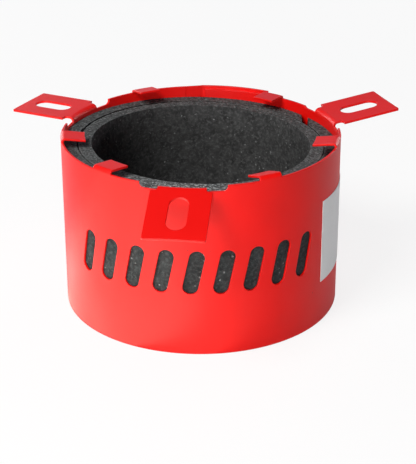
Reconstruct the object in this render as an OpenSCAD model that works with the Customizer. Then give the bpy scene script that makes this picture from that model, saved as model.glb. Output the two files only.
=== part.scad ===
// Fire collar for a plastic pipe: a casing folded from one strip of sheet steel, two wraps of
// liner that swell in a fire and crush the pipe shut, and a blank label.
// The pipe's axis is Z. The plain edge stands at Z = 0 and the rim with its lugs is on top.
// Directions are degrees round Z, counter-clockwise from +X. Lengths are millimetres.

/* [Pipe] */
// Outside diameter of the pipe that the collar goes round
pipe_d = 75; // [50:1:160]
// Room between the pipe and the liner, on each side
pipe_clearance = 0.35; // [0.1:0.05:2]

/* [Liner] */
// Thickness of one wrap of the liner
wrap_t = 4.65; // [2:0.05:8]
// Gap between the two wraps
wrap_gap = 0.3; // [0.05:0.05:1]
// Gap between the outer wrap and the casing
casing_gap = 0.15; // [0.05:0.05:0.8]
// Depth of the liner's top below the rim of the casing, at the pipe's axis
liner_recess = 3.8; // [3.2:0.1:10]
// Height that the slanted top of the liner gains from the pipe's axis to the casing
liner_rise = 1.3; // [0:0.1:1.4]
// Direction in which the liner's top rises
liner_rise_to = -165; // [-180:0.5:180]
// Open gap between the two ends of the outer wrap
outer_butt_gap = 2.2; // [0.2:0.1:6]
// Direction of the gap in the outer wrap
outer_butt_at = 33; // [-180:0.5:180]
// Slant of the outer wrap's ends from the radius
outer_butt_slant = 56; // [-60:1:60]
// Open gap between the two ends of the inner wrap
inner_butt_gap = 0.5; // [0.1:0.1:3]
// Direction of the gap in the inner wrap
inner_butt_at = -139; // [-180:0.5:180]
// Slant of the inner wrap's ends from the radius
inner_butt_slant = 0; // [-60:1:60]

/* [Casing] */
// Thickness of the sheet steel
sheet_t = 0.75; // [0.5:0.05:1.2]
// Height of the casing from its plain edge to its rim
casing_h = 60.5; // [55:0.5:120]

/* [Lap seam] */
// Direction of the sheet's outer end
seam_end_at = 59; // [48:0.5:70]
// Length over which the two ends of the sheet overlap
lap_len = 24.5; // [12:0.5:28]
// Gap between the two layers of the lap
lap_gap = 0.1; // [0.05:0.05:0.3]
// Length of the joggle that lifts the outer end over the tucked end
joggle_len = 6; // [4:0.5:8]
// Room between the tucked end and the joggle
joggle_room = 1.3; // [0.5:0.1:2]
// Loss of thickness on each face of the joggle
joggle_thinning = 0.06; // [0.05:0.01:0.15]
// Depth of the tucked end's top edge below the rim
tuck_drop = 1.2; // [0.2:0.1:1.6]
// Number of spot welds up the lap
weld_count = 3; // [2:1:5]
// Diameter of a spot weld
weld_d = 4.5; // [3:0.1:6]
// Depth of the dimple that a spot weld leaves outside
weld_dimple = 0.15; // [0.1:0.05:0.3]

/* [Fixing lugs] */
// Direction of the right lug
right_lug_at = 20.5; // [15:0.5:25]
// Direction of the left lug
left_lug_at = 152; // [142:0.5:160]
// Direction of the front lug
front_lug_at = -97; // [-105:0.5:-85]
// Lean of the right lug, upwards from level
right_lug_tilt = 6.5; // [-25:0.5:20]
// Lean of the left lug, upwards from level
left_lug_tilt = -1; // [-25:0.5:20]
// Lean of the front lug, upwards from level
front_lug_tilt = -21.5; // [-25:0.5:20]
// Width of a lug's plate
lug_w = 20; // [17:0.5:26]
// Length of a lug's plate from its shoulder to its tip
lug_len = 21.3; // [19:0.1:40]
// Radius of the corners at a lug's tip
lug_corner_r = 0.6; // [0.2:0.1:2]
// Width of the neck that joins a lug to the casing
neck_w = 15.6; // [10:0.1:16]
// Radius of the fillet between the neck and the shoulder
neck_fillet_r = 1; // [0.3:0.1:1.2]
// Distance from the casing's outside to a level lug's shoulder
shoulder_reach = 2.05; // [2:0.05:4]
// Inside radius of the bend under a lug
lug_bend_r = 1; // [0.5:0.1:1.2]
// Length of the slot in a lug
slot_len = 14.1; // [8:0.1:15]
// Width of the slot in a lug
slot_w = 6.4; // [4:0.1:8]
// Distance from the shoulder to the middle of the slot
slot_from_shoulder = 10.3; // [9:0.1:11]
// Width of the relief cut in the rim on each side of a neck
relief_w = 6.4; // [3:0.1:7]
// Depth of the relief cut below the rim, where a lug's bend starts
relief_depth = 1.9; // [1.7:0.1:2.4]
// Radius of the corner at the far end of a relief cut
relief_corner_r = 1.5; // [0.5:0.1:1.7]

/* [Retaining tabs] */
// Angle between a lug and the tab on each side of it
tab_offset = 34.8; // [28:0.1:38]
// Width of a tab
tab_w = 7.8; // [5:0.1:10]
// Distance from the casing's outside to the tip of a level tab
tab_reach = 8.2; // [5:0.1:10]
// Inside radius of a tab's bend
tab_bend_r = 0.6; // [0.3:0.1:1]
// Lean of the tabs beside the right lug, clockwise one first
right_tab_tilts = [-8, 0]; // [-20:1:20]
// Lean of the tabs beside the left lug, clockwise one first
left_tab_tilts = [9, -8]; // [-20:1:20]
// Lean of the tabs beside the front lug, clockwise one first
front_tab_tilts = [-5, -18]; // [-20:1:20]

/* [Window row] */
// Number of windows
window_count = 9; // [1:1:9]
// Direction of the row's middle
window_at = -93; // [-100:0.5:-85]
// Height of the row's middle
window_z = 30; // [20:0.5:32]
// Width of a window
window_w = 5.2; // [3:0.1:7]
// Height of a window
window_h = 15.6; // [9:0.1:18]
// Distance between windows round the casing
window_pitch = 10.1; // [9:0.1:10.5]
// Lean of a window to the right
window_slant = 12; // [0:1:25]

/* [Label] */
// Width of the label round the casing
label_w = 42; // [20:1:50]
// Height of the label
label_h = 30; // [10:1:35]
// Direction of the label's left edge
label_at = -33; // [-35:0.5:-10]
// Height of the label's lower edge
label_z = 15.5; // [5:0.5:20]
// Thickness of the label
label_t = 0.15; // [0.1:0.05:0.3]
// Thickness of the glue under the label
glue_t = 0.03; // [0.02:0.01:0.05]

/* [Hidden] */
$fn = 128;

// How far a fold's section reaches down into the wall, and how far a cutter stands clear
fold_root = 1;
cut = 1;
// Steps along the arc of a bend
bend_steps = 8;

// Radii, from the pipe outwards
bore_r = pipe_d / 2 + pipe_clearance;
inner_wrap_r = bore_r + wrap_t;
outer_wrap_in_r = inner_wrap_r + wrap_gap;
outer_wrap_r = outer_wrap_in_r + wrap_t;
casing_in_r = outer_wrap_r + casing_gap;
casing_r = casing_in_r + sheet_t;
lap_in_r = casing_r + lap_gap;
lap_r = lap_in_r + sheet_t;
label_in_r = casing_r + glue_t;

// Heights, the liner's at the pipe's axis
liner_h = casing_h - liner_recess;
lug_bend_z = casing_h - relief_depth;

// Directions along the seam
tucked_end_at = seam_end_at + arc_angle(lap_len);
joggle_head_at = tucked_end_at + arc_angle(joggle_room);
joggle_foot_at = joggle_head_at + arc_angle(joggle_len);
joggle_bite = arc_angle(sheet_t);

// Places along a level lug, measured from the end of its bend
shoulder_x = shoulder_reach - lug_bend_r;
neck_tail = 2 * (lug_bend_r + sheet_t) + fold_root;

// Each lug with its direction, its lean and the lean of its two tabs
LUGS = [
    [right_lug_at, right_lug_tilt, right_tab_tilts],
    [left_lug_at, left_lug_tilt, left_tab_tilts],
    [front_lug_at, front_lug_tilt, front_tab_tilts],
];

// Angle at the casing's outside that an arc of this length covers
function arc_angle(len) = len / casing_r * 180 / PI;

// Half of the angle that a strip this wide covers at this radius, with a little to spare
function half_sweep(width, r) = asin(width / 2 / r) + 1;

// Length of plate that a lug's bend gives back as it leans up, because all lugs have one blank
function bend_slack(tilt) = (lug_bend_r + sheet_t / 2) * tilt * PI / 180;

// Height of the rim in this direction, which is lower along the tucked end
function rim_z(at) = at > right_lug_at && at < tucked_end_at ? casing_h - tuck_drop : casing_h;

function polar(r, at) = [r * cos(at), r * sin(at)];

// Points along an arc round the origin
function arc_points(r, from, to) =
    [for (i = [0 : bend_steps]) polar(r, from + (to - from) * i / bend_steps)];

module ring_sector(r_in, r_out, z_low, z_high, from, to) {
    rotate_extrude(start = from, angle = to - from)
        translate([r_in, z_low])
            square([r_out - r_in, z_high - z_low]);
}

// Slot with round ends, along X
module obround(len, width) {
    square([len - width, width], center = true);
    for (side = [-1, 1])
        translate([side * (len - width) / 2, 0])
            circle(d = width);
}

// Section of a strip that is folded towards +X. The wall's face is X = 0 and the bend starts at Y = 0.
module fold_section(bend_r, tilt, leg) {
    end_at = 90 + tilt;
    outside = arc_points(bend_r + sheet_t, 180, end_at);
    inside = arc_points(bend_r, end_at, 180);
    plate_end = [for (r = [bend_r + sheet_t, bend_r]) polar(r, end_at) + polar(leg, tilt)];
    root = [for (r = [bend_r, bend_r + sheet_t]) [-r, -fold_root]];
    translate([bend_r, 0])
        polygon(concat(outside, plate_end, inside, root));
}

// Flat outline of a lug, with X = 0 at the end of a level lug's bend
module lug_outline() {
    difference() {
        union() {
            translate([-neck_tail, -neck_w / 2])
                square([neck_tail + shoulder_x + lug_corner_r, neck_w]);
            translate([shoulder_x, -lug_w / 2])
                square([lug_len - lug_corner_r, lug_w]);
            translate([shoulder_x, lug_corner_r - lug_w / 2])
                square([lug_len, lug_w - 2 * lug_corner_r]);
            for (side = [-1, 1])
                translate([shoulder_x + lug_len - lug_corner_r, side * (lug_w / 2 - lug_corner_r)])
                    circle(lug_corner_r);
            for (side = [0, 1])
                mirror([0, side])
                    translate([shoulder_x - neck_fillet_r, neck_w / 2])
                        difference() {
                            square(neck_fillet_r);
                            translate([0, neck_fillet_r])
                                circle(neck_fillet_r);
                        }
        }
        translate([shoulder_x + slot_from_shoulder, 0])
            obround(slot_len, slot_w);
    }
}

// Lug that is bent outwards: a swept fold, trimmed to the lug's outline square to its plate
module lug(at, tilt) {
    sweep = half_sweep(lug_w, casing_r);
    leg = shoulder_x + lug_len + cut + bend_slack(max(tilt, 0));
    intersection() {
        rotate_extrude(start = at - sweep, angle = 2 * sweep)
            translate([casing_r, lug_bend_z])
                fold_section(lug_bend_r, tilt, leg);
        rotate(at)
            translate([casing_r + lug_bend_r, 0, lug_bend_z])
                rotate([0, -tilt, 0])
                    linear_extrude(2 * lug_len, center = true)
                        translate([bend_slack(tilt), 0])
                            lug_outline();
    }
}

// Tab that is bent inwards over the liner, with parallel sides
module tab(at, tilt) {
    sweep = half_sweep(tab_w, casing_r - tab_reach);
    leg = tab_reach - sheet_t - tab_bend_r;
    rim = rim_z(at);
    intersection() {
        rotate_extrude(start = at - sweep, angle = 2 * sweep)
            translate([casing_in_r, rim])
                mirror([1, 0])
                    fold_section(tab_bend_r, tilt, leg);
        rotate(at)
            translate([casing_r - tab_reach - cut, -tab_w / 2, rim - tab_reach])
                cube([tab_reach + 2 * cut, tab_w, 2 * tab_reach]);
    }
}

// Cutter for the relief on both sides of a lug's neck, with round lower corners
module relief(at) {
    half = neck_w / 2 + relief_w;
    rotate(at)
        translate([casing_in_r - 3 * cut, 0, lug_bend_z])
            rotate([90, 0, 90])
                linear_extrude(sheet_t + 4 * cut) {
                    translate([relief_corner_r - half, 0])
                        square([2 * (half - relief_corner_r), relief_depth + cut]);
                    translate([-half, relief_corner_r])
                        square([2 * half, relief_depth + cut - relief_corner_r]);
                    for (side = [-1, 1])
                        translate([side * (half - relief_corner_r), relief_corner_r])
                            circle(relief_corner_r);
                }
}

// Cutter for one slanted window
module window(at) {
    straight = (window_h - window_w) / cos(window_slant);
    rotate(at)
        translate([casing_in_r - cut, 0, window_z])
            rotate([90, 0, 90])
                linear_extrude(sheet_t + 2 * cut)
                    rotate(90 - window_slant)
                        obround(straight + window_w, window_w);
}

// Rolled wall from the joggle round to the tucked end, with its rim cut and its windows
module wall() {
    difference() {
        ring_sector(casing_in_r, casing_r, 0, casing_h, joggle_foot_at, 360 + tucked_end_at);
        ring_sector(casing_in_r - cut, casing_r + cut, casing_h - tuck_drop, casing_h + cut,
            right_lug_at, tucked_end_at + arc_angle(joggle_room));
        for (l = LUGS)
            relief(l[0]);
        for (i = [0 : window_count - 1])
            window(window_at + (i - (window_count - 1) / 2) * arc_angle(window_pitch));
    }
}

// Outer end of the sheet, lifted over the tucked end by the joggle, which forming draws thinner
module lapped_end() {
    foot_at = joggle_foot_at + joggle_bite;
    head_at = joggle_head_at - joggle_bite;
    ring_sector(lap_in_r, lap_r, 0, casing_h, seam_end_at, joggle_head_at);
    linear_extrude(casing_h)
        polygon([
            polar(casing_in_r + joggle_thinning, foot_at),
            polar(casing_r - joggle_thinning, foot_at),
            polar(lap_r - joggle_thinning, head_at),
            polar(lap_in_r + joggle_thinning, head_at),
        ]);
}

// Places the spot welds up the middle of the lap, each with its axis along +X
module at_welds() {
    for (i = [1 : weld_count])
        rotate((seam_end_at + tucked_end_at) / 2)
            translate([0, 0, i * casing_h / (weld_count + 1)])
                rotate([0, 90, 0])
                    children();
}

// The strip rolled into a ring, with its two ends welded where they lap
module ring() {
    difference() {
        union() {
            wall();
            lapped_end();
            at_welds()
                translate([0, 0, casing_r - sheet_t / 2])
                    cylinder(d = weld_d, h = sheet_t + lap_gap);
        }
        at_welds()
            translate([0, 0, lap_r - weld_dimple])
                cylinder(d = weld_d, h = weld_dimple + cut);
    }
}

module casing() {
    color("#e3170f") {
        ring();
        for (l = LUGS) {
            lug(l[0], l[1]);
            tab(l[0] - tab_offset, l[2][0]);
            tab(l[0] + tab_offset, l[2][1]);
        }
    }
}

// One wrap of the liner: a ring that is cut off at a slant on top and cut through by its butt gap
module wrap(r_in, r_out, gap, at, slant) {
    reach = wrap_t / cos(slant) + gap;
    difference() {
        ring_sector(r_in, r_out, 0, casing_h, at, at + 360);
        translate([0, 0, liner_h])
            rotate([0, -atan(liner_rise / casing_in_r), liner_rise_to])
                translate([-2 * casing_r, -2 * casing_r, 0])
                    cube([4 * casing_r, 4 * casing_r, casing_h]);
        rotate(at)
            translate([(r_in + r_out) / 2, 0, casing_h / 2])
                rotate(slant)
                    cube([2 * reach, gap, casing_h + 2 * cut], center = true);
    }
}

module outer_liner() {
    color("#3c3d3e")
        wrap(outer_wrap_in_r, outer_wrap_r, outer_butt_gap, outer_butt_at, outer_butt_slant);
}

module inner_liner() {
    color("#333435")
        wrap(bore_r, inner_wrap_r, inner_butt_gap, inner_butt_at, inner_butt_slant);
}

module label() {
    color("#c9c6c4")
        ring_sector(label_in_r, label_in_r + label_t, label_z, label_z + label_h,
            label_at, label_at + arc_angle(label_w));
}

casing();
outer_liner();
inner_liner();
label();
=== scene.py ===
import math

import bpy
from mathutils import Matrix, Vector

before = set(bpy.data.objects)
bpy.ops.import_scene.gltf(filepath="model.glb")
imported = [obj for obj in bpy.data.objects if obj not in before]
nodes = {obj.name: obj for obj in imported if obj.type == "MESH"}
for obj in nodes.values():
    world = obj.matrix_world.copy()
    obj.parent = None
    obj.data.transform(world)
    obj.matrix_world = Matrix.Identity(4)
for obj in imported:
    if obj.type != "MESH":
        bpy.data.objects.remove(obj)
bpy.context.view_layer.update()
scene = bpy.context.scene
scene.view_settings.view_transform = "Standard"


# Node helpers
class Tree:
    """A material's or world's node tree, with short ways to add and link nodes."""

    def __init__(self, tree):
        self.tree = tree
        tree.nodes.clear()

    def add(self, kind, inputs=None, **settings):
        node = self.tree.nodes.new(kind)
        for name, value in settings.items():
            setattr(node, name, value)
        for name, value in (inputs or {}).items():
            self.put(node.inputs[name], value)
        return node

    def put(self, socket, value):
        """Link a socket to another one, or give it a fixed value."""
        if isinstance(value, bpy.types.NodeSocket):
            self.tree.links.new(value, socket)
        else:
            socket.default_value = value

    def show(self, shader, output="ShaderNodeOutputMaterial"):
        """Make a shader the surface of the material or the world."""
        self.add(output, {"Surface": shader.outputs[0]})

    def math(self, operation, *values):
        node = self.add("ShaderNodeMath", operation=operation)
        for socket, value in zip(node.inputs, values):
            self.put(socket, value)
        return node.outputs[0]

    def plus(self, a, b):
        return self.math("ADD", a, b)

    def minus(self, a, b):
        return self.math("SUBTRACT", a, b)

    def times(self, a, b):
        return self.math("MULTIPLY", a, b)

    def weigh(self, a, share_a, b, share_b):
        return self.plus(self.times(a, share_a), self.times(b, share_b))

    def remap(self, value, low, high, to_low=0.0, to_high=1.0):
        """Carry a value from one range to another, held at both ends."""
        node = self.add("ShaderNodeMapRange", {0: value, 1: low, 2: high, 3: to_low, 4: to_high})
        return node.outputs[0]

    def mix(self, share, a, b):
        """The colour that lies this share of the way from one colour to another."""
        node = self.add("ShaderNodeMix", {"Factor": share}, data_type="RGBA")
        colours = [socket for socket in node.inputs if socket.type == "RGBA"]
        for socket, value in zip(colours, (a, b)):
            self.put(socket, value)
        return [socket for socket in node.outputs if socket.type == "RGBA"][0]

    def place(self):
        """The object's own coordinates, in metres."""
        return self.add("ShaderNodeTexCoord").outputs["Object"]

    def axes(self, vector):
        """A vector's parts, by the names X, Y and Z."""
        return self.add("ShaderNodeSeparateXYZ", {"Vector": vector}).outputs

    def channels(self, colour):
        """A colour's parts, by the names Red, Green and Blue."""
        return self.add("ShaderNodeSeparateColor", {"Color": colour}).outputs

    def noise(self, vector, scale, detail, roughness=0.55, output="Fac"):
        inputs = {"Vector": vector, "Scale": scale, "Detail": detail, "Roughness": roughness}
        return self.add("ShaderNodeTexNoise", inputs).outputs[output]

    def voronoi(self, vector, scale):
        return self.add("ShaderNodeTexVoronoi", {"Vector": vector, "Scale": scale}).outputs

    def bump(self, height, strength, depth):
        return self.add("ShaderNodeBump", {"Strength": strength, "Distance": depth, "Height": height})


def material(name):
    mat = bpy.data.materials.new(name)
    mat.use_nodes = True
    return mat, Tree(mat.node_tree)


def shade(tone, strength=1.0):
    """A linear colour, made darker or paler, with the fourth value that nodes want."""
    return (*(strength * part for part in tone), 1.0)


# Paint of the casing, with the specks' radius in cells of their pattern
RED = (0.78, 0.0026, 0.0009)
BRIGHT_RED = (0.84, 0.0030, 0.0011)
SPECK_RED = (0.16, 0.006, 0.006)
SPECK_RADIUS = 0.055
SPECK_PATCHES = 0.60
SPECK_STRENGTH = 0.7
PAINT_IOR = 1.40
EDGE_ROUNDING = 0.00034


def powder_coat():
    """Red paint with faint clouds, a fine peel, a few dark specks and edges that look rounded."""
    mat, t = material("powder_coat")
    at = t.place()
    cloud = t.noise(at, scale=45, detail=2)
    peel = t.noise(at, scale=900, detail=2, roughness=0.5)
    fine = t.noise(at, scale=3800, detail=1, roughness=0.5)

    colour = t.mix(t.remap(cloud, 0.35, 0.65), shade(RED), shade(BRIGHT_RED))
    dot = t.math("LESS_THAN", t.voronoi(at, scale=260)["Distance"], SPECK_RADIUS)
    patch = t.math("GREATER_THAN", t.noise(at, scale=130, detail=1), SPECK_PATCHES)
    colour = t.mix(t.times(t.times(dot, patch), SPECK_STRENGTH), colour, shade(SPECK_RED))

    cloud_gloss = t.remap(cloud, 0.3, 0.7, to_low=0.40, to_high=0.46)
    fine_gloss = t.remap(fine, 0.3, 0.7, to_low=-0.03, to_high=0.03)
    bump = t.bump(t.weigh(peel, 0.8, fine, 0.2), strength=0.12, depth=0.0001)
    t.put(bump.inputs["Normal"], t.add("ShaderNodeBevel", {"Radius": EDGE_ROUNDING}, samples=8).outputs[0])
    t.show(t.add("ShaderNodeBsdfPrincipled", {
        "Base Color": colour,
        "Roughness": t.plus(cloud_gloss, fine_gloss),
        "IOR": PAINT_IOR,
        "Normal": bump.outputs[0],
    }))
    return mat


# Graphite sheet of the liner: tones of its faces and cut edges, shares of those tones, and sizes in metres
OUTER_FACE = (0.035, 0.0390, 0.0400)
# The cut edges face up, and their tones are paler than the faces partly as painted light from above
OUTER_CUT_WITH_TOP_LIGHT = (0.059, 0.0635, 0.0635)
INNER_FACE = (0.0525, 0.053, 0.053)
# Paler partly as painted light from above, like the outer cut edge
INNER_CUT_WITH_TOP_LIGHT = (0.067, 0.071, 0.071)
DARK_SPOT = 0.6
PALE_SPOT = 1.15
PALE_GRAIN = 2.0
SALT_GRAIN = 9.0
FRAYED = 2.6
# Painted shade: the seam between the two wraps is painted nearly black, as the shade in the gap between them
SEAM_SHADE_TONE = 0.05
FLAKE_GREY = (0.40, 0.41, 0.41)
FLAKE_RARITY = 0.78
FLAKES_MORE_ON_CUT = 0.18
LINER_GLOSS = 0.08
RAGGED = 0.0009
SALT_ALL_ROUND = 0.22
SALT_AT_FRONT = 0.78
FRONT_FROM = -0.043
FRONT_TO = -0.030
FRAY_FROM = 0.0005
FRAY_TO = 0.0011
FRAY_STRENGTH = 0.6
# Width of the painted shade along the seam, in metres: its least, at the left and the right, its share at
# the front, and the spans of its taper
SEAM_SHADE_LEAST = 0.00015
SEAM_SHADE_LEFT = 0.00028
SEAM_SHADE_RIGHT = 0.00004
SEAM_SHADE_AT_FRONT = 0.15
SEAM_SHADE_TAPER_X = 0.02
SEAM_SHADE_TAPER_Y = 0.012


def radii(name):
    """How far each corner of a node lies from the pipe's axis."""
    return [math.hypot(corner.co.x, corner.co.y) for corner in nodes[name].data.vertices]


# Radius of the seam between the liner's two wraps, half way across the gap between them
SEAM_RADIUS = (max(radii("inner_liner")) + min(radii("outer_liner"))) / 2


def mottle(t, pattern, low, high, tone):
    """A tone that turns darker and paler with a pattern."""
    return t.mix(t.remap(pattern, low, high), shade(tone, DARK_SPOT), shade(tone, PALE_SPOT))


def flakes(t, place, edge):
    """Scattered flakes, with more of them on the cut edges."""
    cells = t.voronoi(place, scale=760)
    pick = t.channels(cells["Color"])["Red"]
    rarity = t.minus(FLAKE_RARITY, t.times(edge, FLAKES_MORE_ON_CUT))
    spot = t.remap(cells["Distance"], 0.10, 0.28, to_low=1.0, to_high=0.0)
    return t.times(t.remap(pick, rarity, 1.0), spot)


def cut_edge(t, at, ragged, coarse, grain, tone):
    """The colour of a cut edge, paler partly as painted light from above, and where painted shade darkens
    the seam between the wraps.
    """
    parts = t.axes(at)
    x = parts["X"]
    y = parts["Y"]
    grit = t.math("POWER", t.channels(t.voronoi(ragged, scale=1800)["Color"])["Green"], 3.0)
    front = t.remap(y, FRONT_FROM, FRONT_TO, to_low=1.0, to_high=0.0)
    salt = t.times(grit, t.plus(SALT_ALL_ROUND, t.times(front, SALT_AT_FRONT)))
    colour = t.mix(salt, mottle(t, grain, 0.40, 0.62, tone), shade(tone, SALT_GRAIN))

    reach = t.math("SQRT", t.plus(t.times(x, x), t.times(y, y)))
    off_seam = t.math("ABSOLUTE", t.minus(reach, SEAM_RADIUS))
    near_seam = t.remap(off_seam, FRAY_FROM, FRAY_TO, to_low=1.0, to_high=0.0)
    fray = t.times(near_seam, t.remap(grain, 0.35, 0.6))
    colour = t.mix(t.times(fray, FRAY_STRENGTH), colour, shade(tone, FRAYED))

    width = t.remap(x, -SEAM_SHADE_TAPER_X, SEAM_SHADE_TAPER_X, to_low=SEAM_SHADE_LEFT, to_high=SEAM_SHADE_RIGHT)
    width = t.times(width, t.remap(coarse, 0.3, 0.7, to_low=0.4, to_high=1.9))
    width = t.times(width, t.remap(y, -SEAM_SHADE_TAPER_Y, SEAM_SHADE_TAPER_Y, to_low=SEAM_SHADE_AT_FRONT))
    # Painted shade: a near-black line along the seam between the wraps, where the gap is in shade
    seam_shade = t.math("LESS_THAN", off_seam, t.plus(width, SEAM_SHADE_LEAST))
    return t.mix(seam_shade, colour, shade(tone, SEAM_SHADE_TONE)), seam_shade


def liner(name, face_tone, cut_tone_with_top_light):
    """Pressed graphite sheet: dark mottled faces, and cut edges that show paler grain and painted light from
    above, with painted shade along the seam between the wraps.
    """
    mat, t = material(name)
    at = t.place()
    coarse = t.noise(at, scale=300, detail=3, roughness=0.6)
    grain = t.noise(at, scale=950, detail=4, roughness=0.7)
    jitter = t.noise(at, scale=2500, detail=1, roughness=0.5, output="Color")
    shift = {0: jitter, 1: (RAGGED, RAGGED, RAGGED), 2: at}
    ragged = t.add("ShaderNodeVectorMath", shift, operation="MULTIPLY_ADD").outputs[0]
    normal = t.add("ShaderNodeNewGeometry").outputs["True Normal"]
    # Faces that point up or down take the cut edge's tone, which is paler partly as painted light from above
    edge = t.remap(t.math("ABSOLUTE", t.axes(normal)["Z"]), 0.5, 0.8)

    face = mottle(t, coarse, 0.34, 0.66, face_tone)
    face = t.mix(t.remap(grain, 0.48, 0.70), face, shade(face_tone, PALE_GRAIN))
    cut, seam_shade = cut_edge(t, at, ragged, coarse, grain, cut_tone_with_top_light)
    # No flakes show in the painted shade along the seam on a cut edge
    flake = t.times(flakes(t, ragged, edge), t.minus(1.0, t.times(seam_shade, edge)))
    bump = t.bump(t.weigh(coarse, 0.45, grain, 0.55), strength=0.6, depth=0.0005)
    t.show(t.add("ShaderNodeBsdfPrincipled", {
        "Base Color": t.mix(flake, t.mix(edge, face, cut), shade(FLAKE_GREY)),
        "Roughness": t.remap(grain, 0.3, 0.7, to_low=0.85, to_high=0.65),
        "Specular IOR Level": LINER_GLOSS,
        "Normal": bump.outputs[0],
    }))
    return mat


# Paper of the label
PAPER_WHITE = (0.86, 0.86, 0.85)
PAPER_BRIGHT = (0.90, 0.90, 0.89)
PAPER_FIBRE = (0.72, 0.72, 0.71)
PAPER_ROUGHNESS = 0.55


def paper():
    """Off-white paper with faint fibres."""
    mat, t = material("label_paper")
    at = t.place()
    fibre = t.noise(at, scale=1400, detail=4, roughness=0.6)
    cloud = t.noise(at, scale=60, detail=2)
    colour = t.mix(t.remap(cloud, 0.3, 0.7), shade(PAPER_WHITE), shade(PAPER_BRIGHT))
    colour = t.mix(t.remap(fibre, 0.5, 0.8, to_high=0.25), colour, shade(PAPER_FIBRE))
    bump = t.bump(fibre, strength=0.15, depth=0.0002)
    t.show(t.add("ShaderNodeBsdfPrincipled", {
        "Base Color": colour,
        "Roughness": PAPER_ROUGHNESS,
        "Normal": bump.outputs[0],
    }))
    return mat


def dress(name, mat):
    o = nodes[name]
    o.data.materials.clear()
    o.data.materials.append(mat)


dress("casing", powder_coat())
dress("outer_liner", liner("outer_wrap", OUTER_FACE, OUTER_CUT_WITH_TOP_LIGHT))
dress("inner_liner", liner("inner_wrap", INNER_FACE, INNER_CUT_WITH_TOP_LIGHT))
dress("label", paper())


# Stage: lengths in metres, turns in degrees anticlockwise from +X and power in watts
NEUTRAL = (1.0, 1.0, 1.0)
WARM = (1.0, 0.96, 0.82)
COOL = (0.90, 0.96, 1.16)
KEY_TINT = (1.0, 0.99, 0.97)

FLOOR_HALF = 12.0
FLOOR_DROP = 0.0002
FLOOR_DARK = 0.43
FLOOR_PALE = 0.47
FLOOR_SEEN = 0.98
FLOOR_GLOW = 0.84
# How bright the floor is in a reflection, as a share of what the camera sees of it
MIRRORED = 0.3

# The sky is bright in a band along the horizon and dim above it
HORIZON_LIGHT = 0.7
SKY_LIGHT = 0.05
BAND_FROM = 0.06
BAND_TO = 0.16

PANEL_REACH = 0.168
PANEL_HEIGHT = 0.0002
PANEL_SIZE = (0.25, 0.15)
LAMP_AIM = 0.03


def seen_directly(t):
    """1 where the camera sees the floor, less where it is seen in a reflection and 0 for other light."""
    ray = t.add("ShaderNodeLightPath").outputs
    mirrored = t.times(ray["Is Glossy Ray"], MIRRORED)
    return t.math("MAXIMUM", ray["Is Camera Ray"], mirrored)


def floor_paper():
    """Paper that looks white to the camera and throws less light back on the object."""
    mat, t = material("floor")
    seen = seen_directly(t)
    cloud = t.noise(t.place(), scale=4, detail=2)
    tone = t.mix(cloud, shade(NEUTRAL, FLOOR_DARK), shade(NEUTRAL, FLOOR_PALE))
    tone = t.mix(seen, tone, shade(NEUTRAL, FLOOR_SEEN))
    diffuse = t.add("ShaderNodeBsdfDiffuse", {"Color": tone}).outputs[0]
    glow = t.add("ShaderNodeEmission", {"Color": shade(NEUTRAL), "Strength": 1.0}).outputs[0]
    t.show(t.add("ShaderNodeMixShader", {0: t.times(seen, FLOOR_GLOW), 1: diffuse, 2: glow}))
    return mat


def floor():
    mesh = bpy.data.meshes.new("floor")
    s = FLOOR_HALF
    mesh.from_pydata([(-s, -s, 0), (s, -s, 0), (s, s, 0), (-s, s, 0)], [], [(0, 1, 2, 3)])
    mesh.materials.append(floor_paper())
    o = bpy.data.objects.new("floor", mesh)
    scene.collection.objects.link(o)
    o.location.z = -FLOOR_DROP


def sky():
    world = bpy.data.worlds.new("studio")
    world.use_nodes = True
    scene.world = world
    t = Tree(world.node_tree)
    direction = t.add("ShaderNodeTexCoord").outputs["Generated"]
    up = t.math("ABSOLUTE", t.axes(direction)["Z"])
    light = t.remap(up, BAND_FROM, BAND_TO, to_low=HORIZON_LIGHT, to_high=SKY_LIGHT)
    studio = t.add("ShaderNodeBackground", {"Color": shade(COOL), "Strength": light})
    t.show(studio, output="ShaderNodeOutputWorld")


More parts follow.
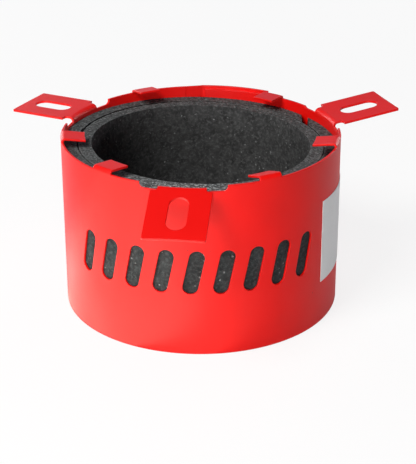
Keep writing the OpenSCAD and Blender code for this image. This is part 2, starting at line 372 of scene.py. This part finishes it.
def softbox(name, turn, reach, height, size, power, tint, aim_height=LAMP_AIM):
    """A lamp that stands at some turn round the object and is aimed at the pipe's axis."""
    lamp = bpy.data.lights.new(name, "AREA")
    lamp.shape = "RECTANGLE"
    lamp.size, lamp.size_y = size
    lamp.energy = power
    lamp.color = tint
    o = bpy.data.objects.new(name, lamp)
    scene.collection.objects.link(o)
    angle = math.radians(turn)
    o.location = (reach * math.cos(angle), reach * math.sin(angle), height)
    o.rotation_euler = (Vector((0, 0, aim_height)) - o.location).to_track_quat("-Z", "Y").to_euler()
    o.visible_camera = False
    return o


def floor_panel(turn, power, tint):
    """A panel that lies beside the object and shines up along its wall."""
    o = softbox("floor_panel_%d" % turn, turn, PANEL_REACH, PANEL_HEIGHT, PANEL_SIZE, power, tint)
    o.rotation_euler = (math.pi, 0, math.radians(turn))


# Camera, fitted to the photo: sensor and lens in millimetres, shifts in sensor widths, angles in degrees
SENSOR = 36
LENS = 110.36
SHIFT_X = 0.0148
SHIFT_Y = -0.0442
NEAR_LIMIT = 0.05
AIM_HEIGHT = 0.03025
CAMERA_DISTANCE = 0.5042
CAMERA_LIFT = 24.13
CAMERA_ROLL = -0.28


def camera():
    cam = bpy.data.cameras.new("camera")
    cam.sensor_width = SENSOR
    cam.lens = LENS
    cam.shift_x = SHIFT_X
    cam.shift_y = SHIFT_Y
    cam.clip_start = NEAR_LIMIT
    o = bpy.data.objects.new("camera", cam)
    scene.collection.objects.link(o)
    target = Vector((0, 0, AIM_HEIGHT))
    lift = math.radians(CAMERA_LIFT)
    o.location = target + CAMERA_DISTANCE * Vector((0, -math.cos(lift), math.sin(lift)))
    turn = (target - o.location).to_track_quat("-Z", "Y").to_matrix()
    roll = Matrix.Rotation(math.radians(CAMERA_ROLL), 3, "Z")
    o.rotation_euler = (turn @ roll).to_euler()
    scene.camera = o


floor()
sky()
floor_panel(turn=140, power=0.03, tint=COOL)
floor_panel(turn=215, power=0.225, tint=WARM)
floor_panel(turn=248, power=0.06, tint=WARM)
softbox("key", turn=228, reach=0.61, height=0.74, size=(0.36, 0.36), power=8.0, tint=KEY_TINT)
softbox("front", turn=260, reach=0.85, height=0.14, size=(0.6, 0.24), power=3.2, tint=NEUTRAL)
for turn in (48, 128):
    softbox("rear_%d" % turn, turn, reach=0.9, height=0.12, size=(0.8, 0.2), power=3.4, tint=NEUTRAL)
softbox("back", turn=90, reach=0.9, height=0.40, size=(1.3, 0.5), power=0.7, tint=COOL, aim_height=0.05)
camera()
